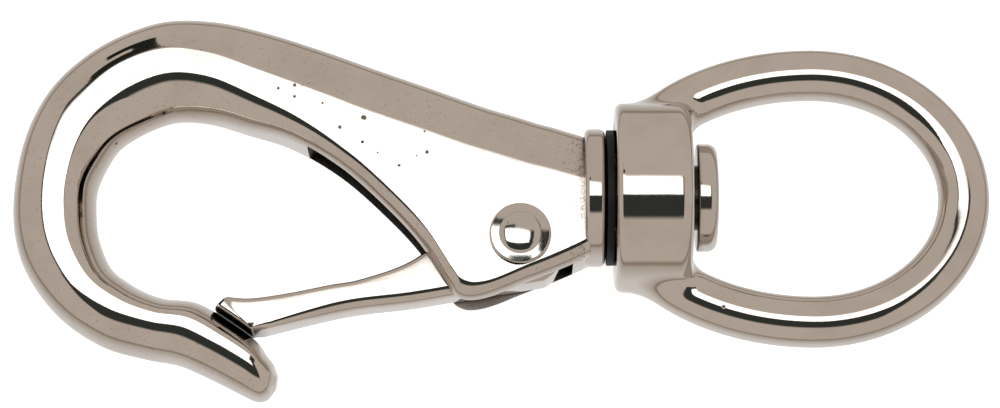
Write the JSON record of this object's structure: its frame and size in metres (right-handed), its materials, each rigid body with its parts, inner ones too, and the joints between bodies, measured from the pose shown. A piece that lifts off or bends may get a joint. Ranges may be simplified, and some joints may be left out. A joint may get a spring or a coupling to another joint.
{
  "type": "swivel eye snap hook",
  "caption": "Cast hook with a sprung gate that opens inwards, and an eye on a round hub that turns freely on a headed pin.",
  "frame": {"origin": "middle of the eye, on the swivel axis", "axes": "+X along the swivel axis from the hook to the eye's far end, +Y towards the hook's back, +Z through the hook's thickness"},
  "size_m": [0.0906, 0.036, 0.0176],
  "materials": {
    "cast_stainless": "investment-cast stainless steel, tumbled and polished, with a few small casting pits",
    "turned_stainless": "turned stainless steel, polished",
    "spring_wire": "drawn stainless spring wire",
    "washer": "black acetal, plain"
  },
  "bodies": {
    "hook": {"hook_body": "cast_stainless", "gate_rivet": "turned_stainless", "swivel_pin": "turned_stainless", "thrust_washer": "washer", "gate_spring": "spring_wire"},
    "gate": {"gate": "cast_stainless"},
    "eye": {"swivel_eye": "cast_stainless"}
  },
  "joints": [
    {"name": "gate_pivot", "type": "hinge", "parent": "hook", "child": "gate", "pos_m": [-0.02709, -0.00425, 0], "axis": [0, 0, -1], "range_deg": [0, 32], "stiffness_Nm_per_rad": 0.04, "springref_deg": -91.67, "deforming": ["gate_spring"]},
    {"name": "eye_swivel", "type": "hinge", "parent": "hook", "child": "eye", "pos_m": [-0.0148, 0, 0], "axis": [1, 0, 0], "continuous": true}
  ]
}
